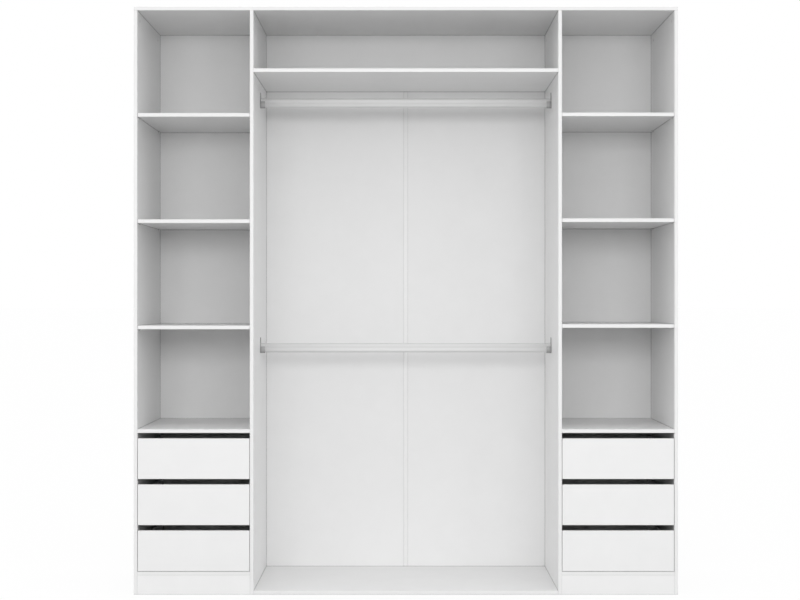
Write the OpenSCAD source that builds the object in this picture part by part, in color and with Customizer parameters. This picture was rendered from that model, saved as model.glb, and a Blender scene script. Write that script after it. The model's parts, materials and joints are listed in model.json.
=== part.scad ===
// Open-front wardrobe: two towers of shelves and drawers, with a wide hanging section between them.
// The front faces -Y, +X runs to the right, the floor is z = 0, and the origin is the middle of the
// base. All sizes are in millimetres.

/* [Overall] */
// Clear width inside each tower
tower_w = 465; // [420:1:600]
// Clear width of the hanging section
centre_w = 1260; // [900:1:1400]
// Height over the top panel
body_h = 2430; // [2360:1:2600]
// Depth from the front edges to the rear edges
body_d = 580; // [500:1:700]

/* [Boards] */
// Thickness of the carcass boards
board_t = 15; // [15:0.5:20]
// Radius of the edging along the front edges
edge_r = 1; // [0.5:0.1:2]
// Thickness of the back panels
back_t = 3; // [2.5:0.5:5]
// Depth of board left behind the back panels
back_inset = 10; // [8:1:25]
// Depth of the grooves that hold the back panels
back_groove_d = 5; // [3:0.5:6]
// Height of the back panels' lower edges above the floor
back_floor_gap = 3; // [1:1:5]
// Width of the flanges of the strip that joins the two lower back panels
strip_w = 17; // [14:1:30]
// Wall thickness of the joining strip
strip_t = 1; // [0.8:0.1:1.5]

/* [Levels] */
// Height of the plinths under the towers
plinth_h = 80; // [50:1:140]
// Clear height above the centre shelf
top_bay_h = 240; // [200:1:400]
// Clear height between the adjustable shelves of the left tower
left_cell_h = 424.5; // [340:0.5:426]
// Clear height between the adjustable shelves of the right tower
right_cell_h = 422.5; // [340:0.5:426]

/* [Adjustable shelves] */
// Gap between each end of a shelf and the upright beside it
shelf_end_gap = 0.5; // [0.3:0.1:1]
// Distance of the shelves' front edges behind the front of the carcass
shelf_setback = 2; // [0:1:10]
// Distance of the shelf pins from the shelves' front and back edges
pin_inset = 50; // [30:1:90]
// Diameter of a shelf pin's shank
pin_d = 5; // [4:0.5:6]
// Length of a shelf pin's shank inside the upright
pin_shank_l = 8; // [6:0.5:9]
// Diameter of a shelf pin's nose, before its flat
pin_nose_d = 7; // [6.5:0.5:9]
// Reach of a shelf pin's nose under the shelf
pin_reach = 8; // [6:0.5:12]
// Height of the nose's flat top above the pin's axis
pin_flat_h = 2; // [1.5:0.5:3]

/* [Hanging rails] */
// Height of a rail's oval section
rail_h = 40; // [30:1:44]
// Width of a rail's oval section
rail_w = 18; // [14:1:22]
// Wall thickness of a rail
rail_wall = 1.5; // [1:0.1:2.5]
// Height of the fine groove along each face of a rail
rail_line_h = 3; // [2:0.5:5]
// Depth of the fine groove along each face of a rail
rail_line_d = 0.5; // [0.3:0.1:0.8]
// Distance of the rails' middle behind the front edges
rail_inset = 291; // [250:1:350]
// Drop of the upper rail's middle below the centre shelf
upper_rail_drop = 89; // [75:1:150]
// Height of the lower rail's middle above the floor
lower_rail_z = 1011; // [900:1:1300]

/* [Rail brackets] */
// Thickness of a bracket's plate against the partition
plate_t = 3; // [2:0.5:5]
// Reach of a bracket's cup along the rail
cup_reach = 18; // [10:1:25]
// Wall thickness of a bracket's cup
cup_wall = 2.5; // [2:0.5:4]
// Distance of the cup's rim below the top of the rail
cup_rim_drop = 14; // [4:1:18]
// Height of the screw tab above the rail
tab_h = 25; // [20:1:35]
// Width of the screw tab
tab_w = 14; // [12:1:20]

/* [Drawers] */
// Height of a drawer front
front_h = 167.5; // [150:0.5:180]
// Finger gap above each drawer front
finger_gap = 23; // [15:1:30]
// Gap between each side of a drawer front and the upright beside it
front_side_gap = 1.5; // [1:0.5:4]
// Gap under the lowest drawer front
front_base_gap = 1.5; // [1:0.5:5]
// Thickness of a drawer's side and back boards
drawer_board_t = 12; // [12:0.5:16]
// Height of a drawer's side boards
drawer_side_h = 120; // [90:1:130]
// Space between the drawers' back boards and the back panels
drawer_back_space = 52; // [20:1:90]
// Height of the side boards' lower edges above the front's lower edge
drawer_lift = 14; // [8:1:20]
// Thickness of a drawer's bottom panel
drawer_bottom_t = 3; // [2.5:0.5:5]
// Height of the bottom panel above the side boards' lower edges
drawer_bottom_lift = 8; // [6:1:12]
// Depth of the grooves that hold a drawer's bottom panel
drawer_groove_d = 5; // [3:0.5:6]

/* [Drawer runners] */
// Space between an upright and a drawer's side board
runner_space = 13; // [12:0.5:15]
// Height of the channel on the upright
runner_h = 36; // [30:1:45]
// Distance of the runners' rear ends in front of the drawers' rear edges
runner_back_gap = 46; // [40:1:90]
// Sheet thickness of the runners
runner_t = 1.2; // [1:0.1:1.5]
// Wall thickness of the nylon liner inside the channel
liner_t = 1.5; // [1:0.1:2]
// Gap between the drawer front and the front ends of the runners
runner_front_gap = 4; // [2:1:10]
// Running clearance between the drawer's rail and the liner
runner_fit = 0.25; // [0.15:0.05:0.4]

/* [Cam fittings] */
// Diameter of a cam lock
cam_d = 15; // [12:0.5:18]
// Distance of a cam lock from the joint
cam_inset = 34; // [24:1:40]
// Distance of the cam fittings from the front edges and from the back panels
cam_margin = 60; // [40:1:90]
// Diameter of a cam bolt's thread
bolt_thread_d = 5; // [4:0.5:6]
// Length of a cam bolt's thread
bolt_thread_l = 10; // [8:0.5:12]
// Diameter of a cam bolt's shaft
bolt_shaft_d = 6; // [5:0.5:6.5]
// Diameter of a cam bolt's head
bolt_head_d = 7; // [6.5:0.5:8]
// Length of a cam bolt's head
bolt_head_l = 3; // [2:0.5:4]

/* [Screws and nails] */
// Diameter of a screw's shank
screw_d = 3.5; // [3:0.1:4]
// Length of a screw's shank
screw_l = 11; // [9:0.5:12]
// Diameter of a screw's head
screw_head_d = 7; // [6:0.5:8]
// Height of a screw's head
screw_head_h = 2; // [1.5:0.1:2.5]
// Diameter of a nail's shank
nail_d = 1.6; // [1.2:0.1:2]
// Length of a nail
nail_l = 20; // [15:1:25]
// Diameter of a nail's head
nail_head_d = 4; // [3:0.5:5]
// Height of a nail's head
nail_head_h = 0.8; // [0.5:0.1:1.2]

/* [Hidden] */
$fn = 40;
shelf_count = 3;
drawer_count = 3;
runner_screw_count = 3;
member_screw_count = 2;

// Clearance round a pin, bolt, screw or nail in its hole, counted on the diameter
hole_fit = 0.1;
// Clearance of a panel in its groove, on each side and at its edge
groove_fit = 0.2;
groove_end_fit = 0.5;
// Clearance between the cam lock and its pocket, and between the bolt and the cam
cam_fit = 0.2;
bolt_fit = 1;
// Clearance of the rail in its cups and at its ends
cup_fit = 0.3;
rail_end_gap = 0.5;
// Gap that keeps a drawer's back from its sides, and a screw's head from the member that it holds
seat_gap = 0.05;
// Overlap of a cutting shape past the face that it cuts
cut = 1;

total_w = 4 * board_t + 2 * tower_w + centre_w;
upright_h = body_h - board_t;
y_front = -body_d / 2;
y_rear = body_d / 2;
y_back = y_rear - back_inset - back_t;
inner_d = y_back - y_front;

// Left face of each upright, and the inner left face of each bay
x_left_side = -total_w / 2;
x_left_partition = -centre_w / 2 - board_t;
x_right_partition = centre_w / 2;
x_right_side = total_w / 2 - board_t;
x_left_tower = x_left_side + board_t;
x_centre = x_left_partition + board_t;
x_right_tower = x_right_partition + board_t;

// Lower faces of the fixed boards
base_z = plinth_h;
drawer_pitch = front_h + finger_gap;
fixed_shelf_z = base_z + board_t + front_base_gap + drawer_count * drawer_pitch;
centre_shelf_z = upright_h - top_bay_h - board_t;

// Each tower: its name, the x of its inner left face and its clear height between shelves
left_tower = ["left", x_left_tower, left_cell_h];
right_tower = ["right", x_right_tower, right_cell_h];
towers = [left_tower, right_tower];

upper_rail_z = centre_shelf_z - upper_rail_drop;
rail_zs = [upper_rail_z, lower_rail_z];
rail_y = y_front + rail_inset;
rail_l = centre_w - 2 * (plate_t + rail_end_gap);
cup_r = rail_w / 2 + cup_fit + cup_wall;
cup_bottom = rail_h / 2 + cup_fit + cup_wall;
cup_rim = rail_h / 2 - cup_rim_drop;
tab_top = rail_h / 2 + tab_h;
tab_screw_z = tab_top - tab_w / 2;

// A cam lock reaches past the bolt's head by this much, and has a cross slot for a screwdriver
cam_end_wall = 1;
cam_h = board_t / 2 + bolt_head_d / 2 + cam_end_wall;
cam_slot_w = 2;
cam_slot_d = 1.5;
cam_ys = [y_front + cam_margin, y_back - cam_margin];

// Gaps from the channel's rim to the web of the drawer's member, and from its rim to the liner
channel_rim_gap = 1.8;
member_rim_gap = 0.5;
channel_d = runner_space - runner_t - channel_rim_gap;
member_d = runner_space - runner_t - liner_t - member_rim_gap;
liner_h = runner_h - 2 * runner_t;
member_h = liner_h - 2 * liner_t - 2 * runner_fit;
runner_y = y_front + board_t + runner_front_gap;
runner_screw_inset = 35;
member_screw_inset = 60;
liner_hole_fit = 2;
liner_hole_d = screw_head_d + liner_hole_fit;

drawer_w = tower_w - 2 * runner_space;
drawer_inner_w = drawer_w - 2 * drawer_board_t;
drawer_front_w = tower_w - 2 * front_side_gap;
drawer_l = inner_d - board_t - drawer_back_space;
runner_l = drawer_l - runner_front_gap - runner_back_gap;
runner_z = drawer_lift + drawer_side_h / 2;
bottom_z = drawer_lift + drawer_bottom_lift;

nail_margin = 40;
tower_nails = 3;
lower_back_nails = 4;
upper_back_nails = 7;
// The lower backs are nailed to the lower half of the centre shelf's edge, the upper back above them
nail_z_low = board_t / 4;
nail_z_high = 3 * board_t / 4;

// Evenly spread places along a length, from inset to length - inset
function spread(inset, length, count) =
    [for (i = [0 : count - 1]) inset + i * (length - 2 * inset) / (count - 1)];

// Lower face of an adjustable shelf, counted from 1 at the top
function shelf_z(tower, n) = upright_h - n * (tower[2] + board_t);

// Lower edge of a drawer front, counted from 1 at the top
function drawer_z(n) = base_z + board_t + front_base_gap + (drawer_count - n) * drawer_pitch;

// A board's section: w across its two edged corners, which lie along y = 0, and d deep
function edged_profile(w, d) = concat(
    [for (a = [180 : 30 : 270]) [edge_r + edge_r * cos(a), edge_r + edge_r * sin(a)]],
    [for (a = [270 : 30 : 360]) [w - edge_r + edge_r * cos(a), edge_r + edge_r * sin(a)]],
    [[w, d], [0, d]]
);

// A channel's section, open towards +X and centred on y = 0
function channel_profile(d, h, t) = [
    [0, -h / 2], [d, -h / 2], [d, -h / 2 + t], [t, -h / 2 + t],
    [t, h / 2 - t], [d, h / 2 - t], [d, h / 2], [0, h / 2]
];

// Each fixed board: the x of its left end, its length, its lower face and the turn of its cam locks.
// A turn of 0 opens the locks downwards, and 180 upwards, out of sight from eye level.
fixed_boards = [
    [x_left_tower, tower_w, base_z, 0],
    [x_right_tower, tower_w, base_z, 0],
    [x_centre, centre_w, 0, 0],
    [x_left_tower, tower_w, fixed_shelf_z, 0],
    [x_right_tower, tower_w, fixed_shelf_z, 0],
    [x_centre, centre_w, centre_shelf_z, 180]
];

// Each cam joint: its place on the face that takes the thread, whether it is mirrored to point
// towards -X, the turn of its lock, and its tip, which is 90 where the bolt points down.
board_joints = [
    for (b = fixed_boards, end = [0, 1], y = cam_ys)
        [[b[0] + end * b[1], y, b[2] + board_t / 2], end, b[3], 0]
];
plinth_joints = [
    for (t = towers, end = [0, 1])
        [[t[1] + end * tower_w, y_front + board_t / 2, plinth_h / 2], end, 90, 0]
];
// The locks of the top panel open into the upright's face, towards -X or, mirrored, towards +X
top_joints = [
    for (u = [[x_left_side, 1], [x_left_partition, 1], [x_right_partition, 0], [x_right_side, 0]],
            y = cam_ys)
        [[u[0] + board_t / 2, y, upright_h], u[1], 0, 90]
];
cam_joints = concat(board_joints, plinth_joints, top_joints);

// Each shelf pin: its place on the upright's face and whether it is mirrored to point towards -X
pin_places = [
    for (t = towers, n = [1 : shelf_count], end = [0, 1],
            y = [y_front + shelf_setback + pin_inset, y_back - pin_inset])
        [[t[1] + end * tower_w, y, shelf_z(t, n) - pin_flat_h], end]
];

// Each runner: its front end on the upright's face, and whether it is mirrored
runner_places = [
    for (t = towers, n = [1 : drawer_count], end = [0, 1])
        [[t[1] + end * tower_w, runner_y, drawer_z(n) + runner_z], end]
];

// Each rail bracket: its place on the partition's face, and whether it is mirrored
bracket_places = [
    for (z = rail_zs, end = [0, 1])
        [[x_centre + end * centre_w, rail_y, z], end]
];

// Each back panel: left edge, right edge, lower edge and upper edge
back_edge = back_groove_d - groove_end_fit;
back_top_z = upright_h + back_edge;
centre_split_z = centre_shelf_z + board_t / 2;
strip_half = strip_t / 2 + groove_fit;
left_back_box = [x_left_tower - back_edge, x_left_tower + tower_w + back_edge,
    back_floor_gap, back_top_z];
right_back_box = [x_right_tower - back_edge, x_right_tower + tower_w + back_edge,
    back_floor_gap, back_top_z];
upper_back_box = [x_centre - back_edge, x_centre + centre_w + back_edge,
    centre_split_z + groove_fit, back_top_z];
lower_left_back_box = [x_centre - back_edge, -strip_half, back_floor_gap, centre_split_z - groove_fit];
lower_right_back_box = [strip_half, x_centre + centre_w + back_edge, back_floor_gap,
    centre_split_z - groove_fit];

// Each row of nails: left end, right end, height and how many nails
nail_rows = [
    for (t = towers, z = [base_z + board_t / 2, fixed_shelf_z + board_t / 2])
        [t[1], t[1] + tower_w, z, tower_nails],
    for (side = [[x_centre, -strip_w / 2], [strip_w / 2, x_centre + centre_w]],
            z = [board_t / 2, centre_shelf_z + nail_z_low])
        [side[0], side[1], z, lower_back_nails],
    [x_centre, x_centre + centre_w, centre_shelf_z + nail_z_high, upper_back_nails]
];
nail_places = [
    for (r = nail_rows, x = spread(nail_margin, r[1] - r[0], r[3]))
        [r[0] + x, r[2]]
];

DRAWER_PARTS = ["front", "walls", "bottom", "runners"];

module x_rod(d, l) {
    rotate([0, 90, 0])
        cylinder(d = d, h = l);
}

module y_rod(d, l) {
    rotate([-90, 0, 0])
        cylinder(d = d, h = l);
}

// Extrudes an XZ outline from y = 0 to y = l
module y_extrude(l) {
    translate([0, l, 0])
        rotate([90, 0, 0])
            linear_extrude(l)
                children();
}

// A lying board with its edged front at y_front + setback
module lying_board(x, z, length, depth, setback = 0) {
    translate([x, y_front + setback, z + board_t])
        rotate([0, 90, 0])
            linear_extrude(length)
                polygon(edged_profile(board_t, depth));
}

module place(p) {
    translate(p[0])
        mirror([p[1], 0, 0])
            children();
}

// Puts a cam joint's local frame in place: the bolt runs along local +X and the lock opens to local -Z
module place_joint(j) {
    translate(j[0])
        mirror([j[1], 0, 0])
            rotate([0, j[3], 0])
                rotate([j[2], 0, 0])
                    children();
}

module cam_thread_hole() {
    translate([-bolt_thread_l - hole_fit, 0, 0])
        x_rod(bolt_thread_d + hole_fit, bolt_thread_l + hole_fit + cut);
}

module cam_pocket() {
    translate([cam_inset, 0, -board_t / 2 - cut])
        cylinder(d = cam_d + cam_fit, h = cam_h + cam_fit + cut);
    translate([-cut, 0, 0])
        x_rod(bolt_head_d + bolt_fit, cam_inset + cut);
}

module cam_lock() {
    difference() {
        translate([cam_inset, 0, -board_t / 2])
            cylinder(d = cam_d, h = cam_h);
        translate([cam_inset - cam_d, 0, 0])
            x_rod(bolt_head_d + bolt_fit, cam_d + bolt_head_l);
        for (turn = [0, 90])
            translate([cam_inset, 0, -board_t / 2])
                rotate([0, 0, turn])
                    cube([cam_d / 2, cam_slot_w, 2 * cam_slot_d], center = true);
    }
}

module cam_bolt() {
    translate([-bolt_thread_l, 0, 0])
        x_rod(bolt_thread_d, bolt_thread_l);
    x_rod(bolt_shaft_d, cam_inset);
    translate([cam_inset - bolt_head_l / 2, 0, 0])
        x_rod(bolt_head_d, bolt_head_l);
}

// A pan-head screw that points to -X, with the underside of its head at x = 0
module screw() {
    translate([-screw_l, 0, 0])
        x_rod(screw_d, screw_l);
    x_rod(screw_head_d, screw_head_h);
}

module screw_hole() {
    translate([-screw_l - hole_fit, 0, 0])
        x_rod(screw_d + hole_fit, screw_l + screw_head_h + hole_fit);
}

module shelf_pin() {
    translate([-pin_shank_l, 0, 0])
        x_rod(pin_d, pin_shank_l);
    intersection() {
        x_rod(pin_nose_d, pin_reach);
        translate([0, -pin_nose_d, pin_flat_h - 2 * pin_nose_d])
            cube([pin_reach, 2 * pin_nose_d, 2 * pin_nose_d]);
    }
}

module pin_hole() {
    translate([-pin_shank_l - hole_fit, 0, 0])
        x_rod(pin_d + hole_fit, pin_shank_l + hole_fit + cut);
}

module nail() {
    translate([0, back_t + nail_head_h - nail_l, 0])
        y_rod(nail_d, nail_l - nail_head_h);
    translate([0, back_t, 0])
        y_rod(nail_head_d, nail_head_h);
}

module nail_holes() {
    for (p = nail_places)
        translate([p[0], y_back + back_t + nail_head_h - nail_l - hole_fit, p[1]])
            y_rod(nail_d + hole_fit, nail_l);
}

// A rail's outer or inner oval, as an outline of height h and width w
module oval(h, w) {
    translate([0, (h - w) / 2])
        circle(d = w);
    translate([0, (w - h) / 2])
        circle(d = w);
    square([w, h - w], center = true);
}

// The places from a list that lie within reach of an upright's faces
function near_upright(places, x) =
    [for (p = places) if (abs(p[0][0] - x - board_t / 2) < board_t) p];

// An upright board; faces lists its inner faces, -1 for the left and 1 for the right
module upright(x, faces) {
    color("whitesmoke")
        difference() {
            translate([x, y_front, 0])
                linear_extrude(upright_h)
                    polygon(edged_profile(board_t, body_d));
            for (f = faces)
                translate([x + board_t / 2 + f * board_t / 2, y_back + back_t / 2, upright_h / 2])
                    cube([2 * back_groove_d, back_t + 2 * groove_fit, upright_h + 2 * cut], center = true);
            for (j = near_upright(concat(board_joints, plinth_joints), x))
                place_joint(j)
                    cam_thread_hole();
            for (j = near_upright(top_joints, x))
                place_joint(j)
                    cam_pocket();
            for (p = near_upright(pin_places, x))
                place(p)
                    pin_hole();
            for (p = near_upright(runner_places, x))
                place(p)
                    for (y = spread(runner_screw_inset, runner_l, runner_screw_count))
                        translate([runner_t, y, 0])
                            screw_hole();
            for (p = near_upright(bracket_places, x))
                place(p)
                    bracket_screw_places()
                        screw_hole();
        }
}

module left_side_panel() {
    upright(x_left_side, [1]);
}

module left_partition() {
    upright(x_left_partition, [-1, 1]);
}

module right_partition() {
    upright(x_right_partition, [-1, 1]);
}

module right_side_panel() {
    upright(x_right_side, [-1]);
}

module top_panel() {
    color("whitesmoke")
        difference() {
            lying_board(x_left_side, upright_h, total_w, body_d);
            translate([0, y_back + back_t / 2, upright_h])
                cube([total_w - 2 * board_t + 2 * back_groove_d, back_t + 2 * groove_fit,
                    2 * back_groove_d], center = true);
            for (j = top_joints)
                place_joint(j)
                    cam_thread_hole();
        }
}

// A board fixed between two uprights; b is its entry in fixed_boards
module fixed_board(b) {
    color("whitesmoke")
        difference() {
            lying_board(b[0], b[2], b[1], inner_d);
            for (j = board_joints)
                if (j[0][2] == b[2] + board_t / 2 && j[0][0] >= b[0] && j[0][0] <= b[0] + b[1])
                    place_joint(j)
                        cam_pocket();
            nail_holes();
        }
}

module plinth(tower) {
    color("whitesmoke")
        difference() {
            translate([tower[1], y_front, 0])
                cube([tower_w, board_t, plinth_h]);
            for (j = plinth_joints)
                if (j[0][0] >= tower[1] && j[0][0] <= tower[1] + tower_w)
                    place_joint(j)
                        cam_pocket();
        }
}

module back_panel(b) {
    color("white")
        difference() {
            translate([b[0], y_back, b[2]])
                cube([b[1] - b[0], back_t, b[3] - b[2]]);
            nail_holes();
        }
}

// An H-shaped strip, with one flange in front of the back panels and one behind them
module back_joining_strip() {
    strip_z = board_t + groove_fit;
    strip_h = centre_shelf_z - groove_fit - strip_z;
    flange_gap = back_t + 2 * groove_fit;
    color("white")
        translate([0, y_back + back_t / 2, strip_z])
            linear_extrude(strip_h) {
                for (side = [-1, 1])
                    translate([0, side * (flange_gap + strip_t) / 2])
                        square([strip_w, strip_t], center = true);
                square([strip_t, flange_gap], center = true);
            }
}

module adjustable_shelf(tower, n) {
    color("whitesmoke")
        lying_board(tower[1] + shelf_end_gap, shelf_z(tower, n), tower_w - 2 * shelf_end_gap,
            inner_d - shelf_setback, shelf_setback);
}

module hanging_rail(z) {
    color("silver")
        translate([-rail_l / 2, rail_y, z])
            rotate([90, 0, 90])
                linear_extrude(rail_l)
                    difference() {
                        oval(rail_h, rail_w);
                        oval(rail_h - 2 * rail_wall, rail_w - 2 * rail_wall);
                        for (side = [-1, 1])
                            translate([side * rail_w / 2, 0])
                                square([2 * rail_line_d, rail_line_h], center = true);
                    }
}

// The two screws of a bracket: one in the tab, and one behind the end of the rail
module bracket_screw_places() {
    for (z = [tab_screw_z, 0])
        translate([plate_t - screw_head_h, 0, z])
            children();
}

module rail_bracket() {
    difference() {
        union() {
            y_z_extrude(plate_t) {
                translate([0, tab_top - tab_w / 2])
                    circle(d = tab_w);
                translate([-tab_w / 2, 0])
                    square([tab_w, tab_top - tab_w / 2]);
            }
            y_z_extrude(plate_t + cup_reach)
                cup_outline(cup_r, cup_bottom);
        }
        translate([plate_t, 0, 0])
            y_z_extrude(cup_reach + cut) {
                cup_outline(rail_w / 2 + cup_fit, rail_h / 2 + cup_fit);
                translate([-rail_w / 2 - cup_fit, 0])
                    square([rail_w + 2 * cup_fit, rail_h]);
            }
        bracket_screw_places() {
            screw_hole();
            x_rod(screw_head_d + 2 * cup_fit, screw_head_h + cut);
        }
    }
}

// Extrudes a YZ outline from x = 0 to x = l
module y_z_extrude(l) {
    rotate([90, 0, 90])
        linear_extrude(l)
            children();
}

// A round-bottomed cup's outline, up to the rim
module cup_outline(r, bottom) {
    translate([0, r - bottom])
        circle(r = r);
    translate([-r, r - bottom])
        square([2 * r, cup_rim + bottom - r]);
}

module rail_brackets() {
    color("gray")
        for (p = bracket_places)
            place(p)
                rail_bracket();
}

module rail_bracket_screws() {
    color("dimgray")
        for (p = bracket_places)
            place(p)
                bracket_screw_places()
                    screw();
}

module shelf_pins() {
    color("white")
        for (p = pin_places)
            place(p)
                shelf_pin();
}

module cabinet_runners() {
    color("lightgray")
        for (p = runner_places)
            place(p)
                difference() {
                    y_extrude(runner_l)
                        polygon(channel_profile(channel_d, runner_h, runner_t));
                    for (y = spread(runner_screw_inset, runner_l, runner_screw_count))
                        translate([runner_t, y, 0])
                            screw_hole();
                }
}

module runner_liners() {
    color("white")
        for (p = runner_places)
            place(p)
                translate([runner_t, 0, 0])
                    difference() {
                        y_extrude(runner_l)
                            polygon(channel_profile(channel_d - runner_t, liner_h, liner_t));
                        for (y = spread(runner_screw_inset, runner_l, runner_screw_count))
                            translate([-cut, y, 0])
                                x_rod(liner_hole_d, liner_t + 2 * cut);
                    }
}

module runner_screws() {
    color("silver")
        for (p = runner_places, y = spread(runner_screw_inset, runner_l, runner_screw_count))
            place(p)
                translate([runner_t, y, 0])
                    screw();
}

module cam_locks() {
    color("whitesmoke")
        for (j = cam_joints)
            place_joint(j)
                cam_lock();
}

module cam_bolts() {
    color("silver")
        for (j = cam_joints)
            place_joint(j)
                cam_bolt();
}

module back_nails() {
    color("silver")
        for (p = nail_places)
            translate([p[0], y_back, p[1]])
                nail();
}

// Puts a drawer's local frame in place: x = 0 at the tower's inner left face, y = 0 at the front of
// the carcass and z = 0 at the lower edge of the drawer front
module at_drawer(tower, n) {
    translate([tower[1], y_front, drawer_z(n)])
        children();
}

module drawer_front() {
    color("whitesmoke")
        difference() {
            intersection() {
                translate([front_side_gap, 0, 0])
                    linear_extrude(front_h)
                        polygon(edged_profile(drawer_front_w, board_t));
                translate([front_side_gap, 0, front_h])
                    rotate([0, 90, 0])
                        linear_extrude(drawer_front_w)
                            polygon(edged_profile(front_h, board_t));
            }
            translate([runner_space + drawer_board_t - drawer_groove_d, board_t - drawer_groove_d,
                    bottom_z - groove_fit])
                cube([drawer_inner_w + 2 * drawer_groove_d, drawer_groove_d + cut,
                    drawer_bottom_t + 2 * groove_fit]);
        }
}

// The two members that ride in the runners are screwed to the outer faces of the side boards
module member_screw_places() {
    for (end = [0, 1])
        translate([end * tower_w, board_t + runner_front_gap, runner_z])
            mirror([end, 0, 0])
                for (y = spread(member_screw_inset, runner_l, member_screw_count))
                    translate([runner_space - runner_t, y, 0])
                        mirror([1, 0, 0])
                            children();
}

module drawer_walls() {
    back_z = bottom_z + drawer_bottom_t + groove_fit;
    color("white")
        difference() {
            for (x = [runner_space, tower_w - runner_space - drawer_board_t])
                translate([x, board_t, drawer_lift])
                    cube([drawer_board_t, drawer_l, drawer_side_h]);
            translate([runner_space + drawer_board_t - drawer_groove_d, board_t - cut,
                    bottom_z - groove_fit])
                cube([drawer_inner_w + 2 * drawer_groove_d, drawer_l + 2 * cut,
                    drawer_bottom_t + 2 * groove_fit]);
            member_screw_places()
                screw_hole();
        }
    color("white")
        translate([runner_space + drawer_board_t + seat_gap, board_t + drawer_l - drawer_board_t, back_z])
            cube([drawer_inner_w - 2 * seat_gap, drawer_board_t, drawer_lift + drawer_side_h - back_z]);
}

module drawer_bottom() {
    bottom_w = drawer_inner_w + 2 * (drawer_groove_d - groove_end_fit);
    front_reach = drawer_groove_d - groove_end_fit;
    color("white")
        translate([(tower_w - bottom_w) / 2, board_t - front_reach, bottom_z])
            cube([bottom_w, drawer_l + front_reach, drawer_bottom_t]);
}

module drawer_runners() {
    color("silver") {
        difference() {
            for (end = [0, 1])
                translate([end * tower_w, board_t + runner_front_gap, runner_z])
                    mirror([end, 0, 0])
                        translate([runner_space, 0, 0])
                            mirror([1, 0, 0])
                                y_extrude(runner_l)
                                    polygon(channel_profile(member_d, member_h, runner_t));
            member_screw_places()
                screw_hole();
        }
        member_screw_places()
            translate([seat_gap, 0, 0])
                screw();
    }
}

left_side_panel();
left_partition();
right_partition();
right_side_panel();
top_panel();
fixed_board(fixed_boards[0]);  // left_base_board
fixed_board(fixed_boards[1]);  // right_base_board
fixed_board(fixed_boards[2]);  // centre_base_board
fixed_board(fixed_boards[3]);  // left_fixed_shelf
fixed_board(fixed_boards[4]);  // right_fixed_shelf
fixed_board(fixed_boards[5]);  // centre_shelf
plinth(left_tower);  // left_plinth
plinth(right_tower);  // right_plinth
back_panel(left_back_box);  // left_back_panel
back_panel(right_back_box);  // right_back_panel
back_panel(upper_back_box);  // centre_upper_back
back_panel(lower_left_back_box);  // centre_back_left
back_panel(lower_right_back_box);  // centre_back_right
back_joining_strip();
hanging_rail(upper_rail_z);  // upper_rail
hanging_rail(lower_rail_z);  // lower_rail
rail_brackets();
rail_bracket_screws();
shelf_pins();
cabinet_runners();
runner_liners();
runner_screws();
cam_locks();
cam_bolts();
back_nails();
for (t = towers, n = [1 : shelf_count])
    adjustable_shelf(t, n);
for (t = towers, n = [1 : drawer_count])
    at_drawer(t, n) {
        drawer_front();
        drawer_walls();
        drawer_bottom();
        drawer_runners();
    }
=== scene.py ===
# %% [markdown]
# # An open-front wardrobe
# The carcass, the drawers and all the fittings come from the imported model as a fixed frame, so this
# lesson adds what a photograph shows beyond plain solids: finishes, and the hardware with its rolled,
# pressed and rounded edges. The frame is never moved. Everything new takes its place from it.

# %% Load the frame
import json
import math

import bmesh
import bpy
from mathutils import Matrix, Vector

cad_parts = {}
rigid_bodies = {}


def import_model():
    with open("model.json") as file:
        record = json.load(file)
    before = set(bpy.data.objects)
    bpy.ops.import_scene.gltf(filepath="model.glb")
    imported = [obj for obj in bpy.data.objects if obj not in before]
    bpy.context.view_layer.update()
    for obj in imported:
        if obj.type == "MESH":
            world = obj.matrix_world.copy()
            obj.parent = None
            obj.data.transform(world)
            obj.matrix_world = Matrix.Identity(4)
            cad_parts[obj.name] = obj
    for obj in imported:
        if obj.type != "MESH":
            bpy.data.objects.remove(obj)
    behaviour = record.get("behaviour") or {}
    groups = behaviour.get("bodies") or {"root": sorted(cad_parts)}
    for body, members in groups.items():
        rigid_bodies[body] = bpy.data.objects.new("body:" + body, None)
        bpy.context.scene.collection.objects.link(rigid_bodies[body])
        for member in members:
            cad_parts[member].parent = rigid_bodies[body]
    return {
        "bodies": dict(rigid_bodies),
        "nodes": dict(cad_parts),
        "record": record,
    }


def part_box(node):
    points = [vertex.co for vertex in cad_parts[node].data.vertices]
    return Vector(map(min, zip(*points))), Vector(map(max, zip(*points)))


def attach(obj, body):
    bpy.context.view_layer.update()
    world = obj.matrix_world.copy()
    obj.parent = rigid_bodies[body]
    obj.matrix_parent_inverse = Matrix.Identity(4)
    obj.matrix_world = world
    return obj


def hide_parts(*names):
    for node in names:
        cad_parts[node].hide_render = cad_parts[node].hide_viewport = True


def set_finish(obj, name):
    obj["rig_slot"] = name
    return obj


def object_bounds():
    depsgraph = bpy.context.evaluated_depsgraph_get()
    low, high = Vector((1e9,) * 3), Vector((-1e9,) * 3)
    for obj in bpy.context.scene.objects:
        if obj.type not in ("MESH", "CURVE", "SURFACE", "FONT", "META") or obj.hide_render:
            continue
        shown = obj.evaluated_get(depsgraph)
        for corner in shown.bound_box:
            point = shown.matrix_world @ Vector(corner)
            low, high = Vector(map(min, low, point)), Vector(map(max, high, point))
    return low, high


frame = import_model()
cad_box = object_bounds()
MM = 0.001
print("frame box in metres:", [round(side, 3) for side in cad_box[1] - cad_box[0]])

# %% [markdown]
# ## The camera
# The photograph is taken from the front with a level camera at chest height. The lines that run back
# into the cells all meet in one point, and a level camera has that point straight ahead. So the
# camera needs no turn at all: it looks along +Y, and a very small shift brings the wardrobe to the
# middle of the picture. Its distance follows from how much smaller the back appears than the front.

# %% Set up the camera
camera_distance = 6.065
camera_height = 1.2085
camera_side = -0.0107
lens_mm = 66.035
sensor_mm = 36
vanishing_pixel = (403.3, 302.2)
picture_size = (800, 600)

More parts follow.
